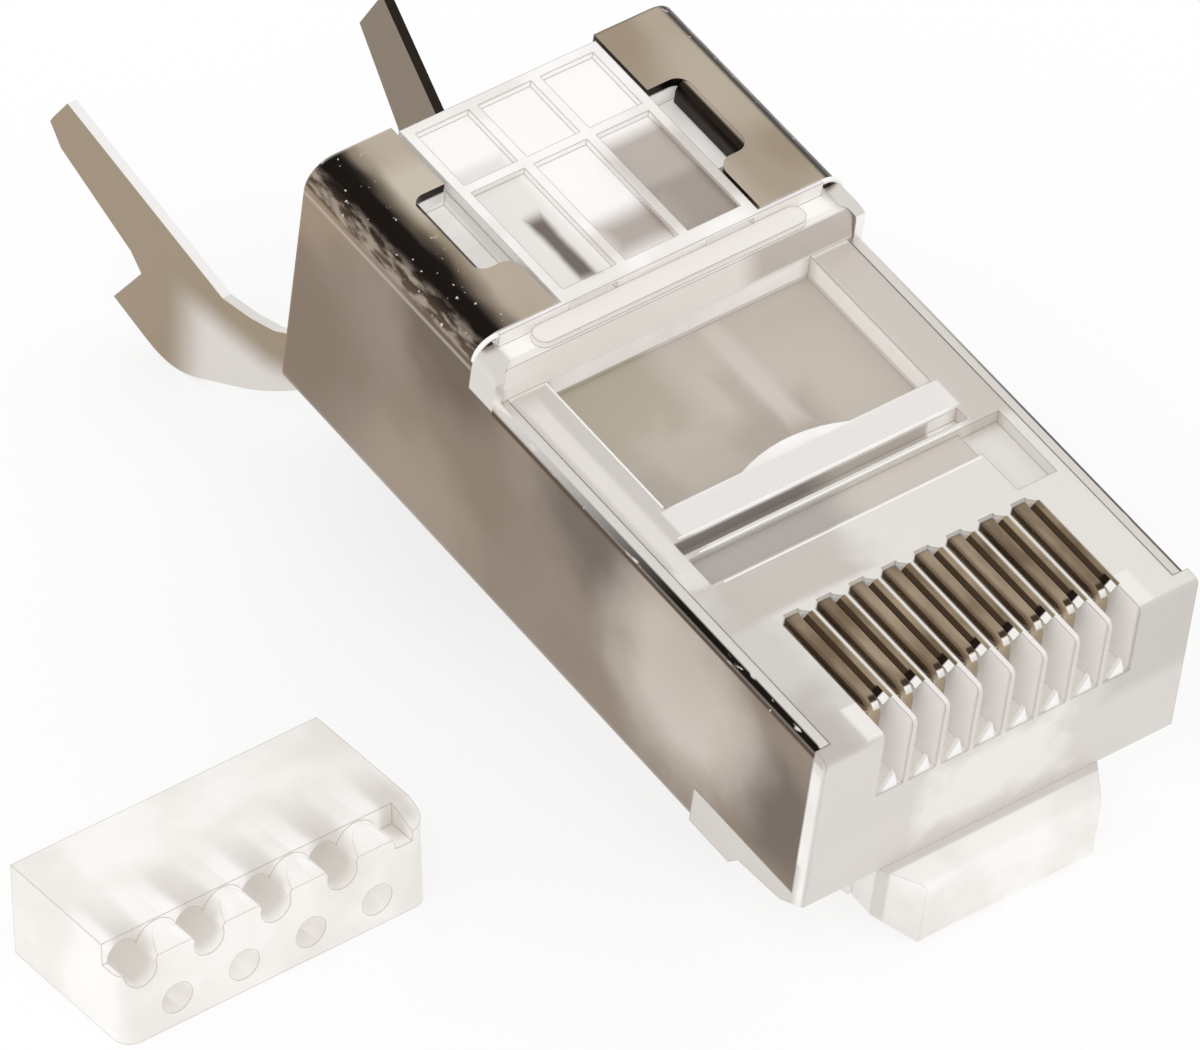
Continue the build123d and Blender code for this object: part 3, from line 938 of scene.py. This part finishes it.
class Recipe:
    """A Geometry Nodes group with named inputs, applied once to give a plain mesh."""

    KINDS = {float: "NodeSocketFloat", int: "NodeSocketInt", Vector: "NodeSocketVector"}

    def __init__(self, name: str) -> None:
        """Start the group.

        Args:
            name: the group's name.
        """
        self.group = bpy.data.node_groups.new(name, "GeometryNodeTree")
        for way in ("INPUT", "OUTPUT"):
            self.group.interface.new_socket("Geometry", in_out=way, socket_type="NodeSocketGeometry")
        self.values: dict[str, Union[float, Vector, bpy.types.Material]] = {}

    def name_input(self, name: str, value: Union[float, Vector, bpy.types.Material]) -> None:
        """Add a named input with its value.

        Args:
            name: the input's name.
            value: a number, a whole number, a vector or a material.
        """
        kind = self.KINDS.get(type(value), "NodeSocketMaterial")
        socket = self.group.interface.new_socket(name, in_out="INPUT", socket_type=kind)
        self.values[socket.identifier] = value

    def begin(self) -> dict[str, Output]:
        """Add the group's input node, once all inputs are named.

        Returns:
            The outputs of the input node, by name.
        """
        self.given = {output.name: output for output in self.group.nodes.new("NodeGroupInput").outputs}
        return self.given

    def add(self, kind: str, inputs: dict[Union[int, str], object], **settings: object) -> Output:
        """Add a node.

        Args:
            kind: the node's type, without its usual beginning.
            inputs: an output or a constant for each input, by number or name.
            settings: attributes of the node.

        Returns:
            The node's first output.
        """
        node = self.group.nodes.new("GeometryNode" + kind)
        for name, value in settings.items():
            setattr(node, name, value)
        for socket, value in inputs.items():
            if isinstance(value, bpy.types.NodeSocket):
                self.group.links.new(value, node.inputs[socket])
            else:
                node.inputs[socket].default_value = value
        return node.outputs[0]

    def finish(self, made: Output) -> None:
        """End the group: realize the instances and set the material.

        Args:
            made: the geometry that was made.
        """
        real = self.add("RealizeInstances", {0: made})
        finished = self.add("SetMaterial", {"Geometry": real, "Material": self.given["Material"]})
        out = self.group.nodes.new("NodeGroupOutput")
        self.group.links.new(finished, out.inputs[0])

    def mesh(self, name: str, base: bpy.types.Mesh) -> bpy.types.Object:
        """Apply the group to a base mesh.

        Args:
            name: the new object's name.
            base: the mesh that the group starts from.

        Returns:
            An object at the origin with a plain mesh.
        """
        holder = bpy.data.objects.new(name + "_base", base)
        bpy.context.scene.collection.objects.link(holder)
        modifier = holder.modifiers.new("recipe", "NODES")
        modifier.node_group = self.group
        for identifier, value in self.values.items():
            modifier[identifier] = value
        holder.update_tag()
        bpy.context.view_layer.update()
        evaluated = holder.evaluated_get(bpy.context.evaluated_depsgraph_get())
        made = bpy.data.meshes.new_from_object(evaluated)
        bpy.data.objects.remove(holder)
        return place_mesh(name, made)


def place_mesh(name: str, mesh: bpy.types.Mesh) -> bpy.types.Object:
    """Turn a mesh in plug millimetres into an object at the origin, with its faces outwards.

    Args:
        name: the object's name.
        mesh: the mesh, in plug millimetres.

    Returns:
        The object.
    """
    mesh.transform(PLUG)
    work = bmesh.new()
    work.from_mesh(mesh)
    bmesh.ops.recalc_face_normals(work, faces=work.faces)
    work.to_mesh(mesh)
    work.free()
    piece = bpy.data.objects.new(name, mesh)
    bpy.context.scene.collection.objects.link(piece)
    return piece


def settle(piece: bpy.types.Object, body: Body) -> None:
    """Let a piece ride on a body.

    Args:
        piece: the piece.
        body: the body it rides on.
    """
    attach(piece, body.value)
    log.info("%s: %d faces", piece.name, len(piece.data.polygons))


@dataclass
class Row:
    """A straight bar of one section, repeated once for each contact."""

    name: str
    section: tuple[Span, ...]
    start: float
    end: float
    count: int = CONTACTS
    pitch: float = PITCH

    def build(self, finish: Finish, slot: Slot) -> None:
        """Build the row.

        Args:
            finish: what makes its material.
            slot: the record's slot; not used.
        """
        corners = [(x, y, z) for y in (self.start, self.end) for x, z in self.section]
        size = len(self.section)
        faces = [tuple(range(size)), tuple(range(size, 2 * size))]
        for number in range(size):
            after = (number + 1) % size
            faces.append((number, after, after + size, number + size))
        base = bpy.data.meshes.new(self.name + "_one")
        base.from_pydata(corners, [], faces)
        recipe = Recipe(self.name)
        recipe.name_input("Count", self.count)
        recipe.name_input("Start", Vector((-self.pitch * (self.count - 1) / 2, 0, 0)))
        recipe.name_input("Step", Vector((self.pitch, 0, 0)))
        recipe.name_input("Material", finish.make())
        given = recipe.begin()
        line = {"Count": given["Count"], "Start Location": given["Start"], "Offset": given["Step"]}
        points = recipe.add("MeshLine", line, mode="OFFSET")
        recipe.finish(recipe.add("InstanceOnPoints", {"Points": points, "Instance": given["Geometry"]}))
        settle(recipe.mesh(self.name, base), Body.PLUG)


@dataclass
class Bead:
    """A thin round bead that follows a path."""

    name: str
    path: tuple[Point, ...]
    radius: float
    turn: float = 0.0
    turn_steps: int = 8
    sides: int = 10

    def build(self, finish: Finish, slot: Slot) -> None:
        """Build the bead.

        Args:
            finish: what makes its material.
            slot: the record's slot; not used.
        """
        base = bpy.data.meshes.new(self.name + "_path")
        base.from_pydata(list(self.path), [(n, n + 1) for n in range(len(self.path) - 1)], [])
        recipe = Recipe(self.name)
        recipe.name_input("Radius", self.radius)
        recipe.name_input("Turn", self.turn)
        recipe.name_input("Material", finish.make())
        given = recipe.begin()
        line = recipe.add("MeshToCurve", {"Mesh": given["Geometry"]})
        fillet = {"Curve": line, "Radius": given["Turn"], "Limit Radius": True, "Count": self.turn_steps}
        smooth = recipe.add("FilletCurve", fillet, mode="POLY")
        ring = recipe.add("CurvePrimitiveCircle", {"Resolution": self.sides, "Radius": given["Radius"]})
        recipe.finish(recipe.add("CurveToMesh", {"Curve": smooth, "Profile Curve": ring, "Fill Caps": True}))
        settle(recipe.mesh(self.name, base), Body.PLUG)


@dataclass(frozen=True)
class Ridge:
    """A thin bright line across the nose: its ends, its place along the plug and its height."""

    left: float
    right: float
    place: float
    height: float


@dataclass
class Housing:
    """The moulded housing with its latch, and the thin lines that catch the light on it."""

    finish: ClearPlastic = field(default_factory=lambda: ClearPlastic(patches=HOUSING_PATCHES))
    window_left: float = -4.2
    window: Span = (8.95, 13.9)
    rail_radius: float = 0.03
    ridges: tuple[Ridge, ...] = (
        Ridge(-4.3, 3.9, 7.28, -0.02),
        Ridge(-4.4, 3.7, 6.16, -0.01),
        Ridge(-4.5, 4.0, 7.92, -0.01),
    )

    def build(self) -> None:
        """Dress the housing and the latch, and add the painted highlight lines on the rail and the ridges."""
        material = self.finish.make()
        for node in ("housing", "latch"):
            dress(node, material)
        # White beads of painted highlight along the window's rail and the ridges.
        light = Bright("rail_light")
        path = tuple((self.window_left, y, 0.0) for y in self.window)
        Bead("window_rail_highlight", path, self.rail_radius).build(light, Slot.PLASTIC)
        for number, ridge in enumerate(self.ridges):
            path = tuple((x, ridge.place, ridge.height) for x in (ridge.left, ridge.right))
            Bead(f"ridge_line_{number + 1}", path, self.rail_radius).build(light, Slot.PLASTIC)


@dataclass
class LoadBar:
    """The clear load bar that lies beside the plug."""

    finish: ClearPlastic = field(
        default_factory=lambda: ClearPlastic(
            name="bar_clear",
            body=seen(252, 250, 247),
            cloud=seen(240, 236, 231),
            outline=Outline(seen(170, 162, 153)),
            clearness=0.15,
            channels=Channels(),
        )
    )

    def build(self) -> None:
        """Dress the bar."""
        dress("load_bar", self.finish.make())


@dataclass
class Shield:
    """The folded metal shield, with a bright bead along the front of its flaps for the white plastic lip and its
    painted highlight.
    """

    finish: Metal = Metal("satin_nickel", SHEET, 0.3)
    half: float = 5.84
    top: float = 1.4
    corner: float = 0.85
    lip_place: float = 14.93
    lip_low: float = 0.75
    lip_radius: float = 0.07

    def build(self) -> None:
        """Dress the shield and add its lip."""
        dress("shield", self.finish.make())
        side = self.half - self.lip_radius
        crest = self.top - self.lip_radius
        path = (
            (-side, self.lip_place, self.lip_low),
            (-side, self.lip_place, crest),
            (side, self.lip_place, crest),
            (side, self.lip_place, self.lip_low),
        )
        Bead("front_lip_highlight", path, self.lip_radius, self.corner).build(Bright("lip_light"), Slot.SHEET)


@dataclass
class Contacts:
    """The row of eight blades in their flared slots."""

    finish: ContactMetal = ContactMetal(
        "plated_contact", seen(176, 158, 134), seen(122, 104, 84), BLADE_LIGHT_AND_SHADE
    )
    left_lining: ContactMetal = ContactMetal(
        "slot_tan", seen(186, 169, 147), seen(136, 117, 95), LINING_REFLECTIONS
    )
    # The right linings are a darker copy of the same metal, in painted shade.
    right_lining: ContactMetal = ContactMetal(
        "slot_brown_shaded", seen(170, 151, 127), seen(112, 94, 74), LINING_REFLECTIONS
    )
    blade_half: float = 0.19
    mouth_half: float = 0.42
    mouth: Span = (0.95, 4.25)
    depth: float = 0.16
    top: float = -0.02
    skin: float = 0.03
    brim: float = 0.08
    rise: float = 0.01
    spark: Span = (0.04, 0.16)
    spark_low: float = -2.45
    spark_top: float = -1.75
    spark_half: float = 0.3
    spark_lean: float = 0.4

    def build(self) -> None:
        """Dress the blades, and add the linings of their slots, the right ones darker in painted shade, and the
        bright wedges of painted highlight in them.
        """
        material = self.finish.make()
        for number in range(CONTACTS):
            dress(f"contact_{number + 1}", material)
        outer, inner = self.mouth_half, self.blade_half + self.skin
        low = -self.depth - self.skin
        left = ((-outer, self.top), (-inner, -self.depth), (-inner, low), (-outer, -self.depth))
        Row("slot_flare_left", left, *self.mouth).build(self.left_lining, Slot.CONTACT)
        edge = outer + self.brim
        right = (
            (edge, self.rise),
            (outer, self.rise),
            (inner, -self.depth),
            (inner, low),
            (outer, -self.skin),
            (edge, -self.rise),
        )
        Row("slot_flare_right", right, *self.mouth).build(self.right_lining, Slot.CONTACT)
        half = self.spark_half
        wedge = ((-half, self.spark_low), (half, self.spark_low), (half * self.spark_lean, self.spark_top))
        Row("slot_sparks", wedge, *self.spark).build(Bright("spark_light"), Slot.PLASTIC)


@dataclass
class Studio:
    """Floor, light and camera, as in the photo."""

    floor_size: float = 0.6
    floor_gap: float = 0.00002
    shadow: float = 0.25
    world: float = 0.9
    sun: float = 0.12
    sun_width: float = 60.0
    sun_turn: Point = (25.0, -20.0, 0.0)
    lens: float = 424.95
    sensor: float = 36.0
    reach: Span = (0.01, 5.0)
    standing: Point = (-167.943, -213.485, 220.243)
    right: Point = (0.79998, -0.59977, -0.01778)
    up: Point = (0.38402, 0.48899, 0.78321)
    back: Point = (-0.46105, -0.63338, 0.62150)

    def build(self) -> None:
        """Add the floor, the light and the camera."""
        self.add_floor()
        self.add_light()
        self.add_camera()

    def add_floor(self) -> None:
        """Lay a plain white floor that keeps a light shadow.

        What looks straight at it sees mostly its own white, and all other light meets a plain white floor.
        """
        size = self.floor_size
        mesh = bpy.data.meshes.new("floor")
        corners = [(-size, -size, 0), (size, -size, 0), (size, size, 0), (-size, size, 0)]
        mesh.from_pydata(corners, [], [(0, 1, 2, 3)])
        floor = bpy.data.objects.new("floor", mesh)
        floor.location.z = -self.floor_gap
        bpy.context.scene.collection.objects.link(floor)
        graph = Graph("white_floor")
        ways = graph.add("LightPath", {}).outputs
        direct = graph.math("MAXIMUM", ways["Is Camera Ray"], ways["Is Glossy Ray"])
        direct = graph.math("MAXIMUM", direct, ways["Is Transmission Ray"])
        share = self.shadow
        graph.shade(
            Base_Color=graph.mix(direct, WHITE, (share, share, share, 1.0)),
            Emission_Color=WHITE,
            Emission_Strength=graph.times(direct, 1.0 - share),
            Roughness=1.0,
            Specular_IOR_Level=0.0,
        )
        mesh.materials.append(graph.material)

    def add_light(self) -> None:
        """Light evenly from all round, with a soft sun from the upper left."""
        world = bpy.data.worlds.new("room")
        bpy.context.scene.world = world
        world.use_nodes = True
        background = world.node_tree.nodes["Background"]
        background.inputs["Color"].default_value = WHITE
        background.inputs["Strength"].default_value = self.world
        sun = bpy.data.lights.new("soft_sun", "SUN")
        sun.energy = self.sun * math.pi
        sun.angle = math.radians(self.sun_width)
        holder = bpy.data.objects.new("soft_sun", sun)
        holder.rotation_euler = tuple(math.radians(turn) for turn in self.sun_turn)
        bpy.context.scene.collection.objects.link(holder)

    def add_camera(self) -> None:
        """Put the camera where the photo was taken from."""
        data = bpy.data.cameras.new("photo_view")
        data.lens = self.lens
        data.sensor_width = self.sensor
        data.sensor_fit = "HORIZONTAL"
        data.clip_start, data.clip_end = self.reach
        camera = bpy.data.objects.new("photo_view", data)
        turn = Matrix((self.right, self.up, self.back)).transposed().to_4x4()
        place = PLUG.to_translation() + Vector(self.standing) * MM
        camera.matrix_world = Matrix.Translation(place) @ turn
        bpy.context.scene.collection.objects.link(camera)
        bpy.context.scene.camera = camera


def main() -> None:
    """Build each piece in turn."""
    logging.basicConfig(level=logging.INFO, format="%(message)s")
    bpy.context.scene.view_settings.view_transform = "Standard"
    for part in (Housing(), LoadBar(), Shield(), Contacts(), Studio()):
        part.build()
        log.info("built %s", type(part).__name__)


if __name__ == "__main__":
    main()
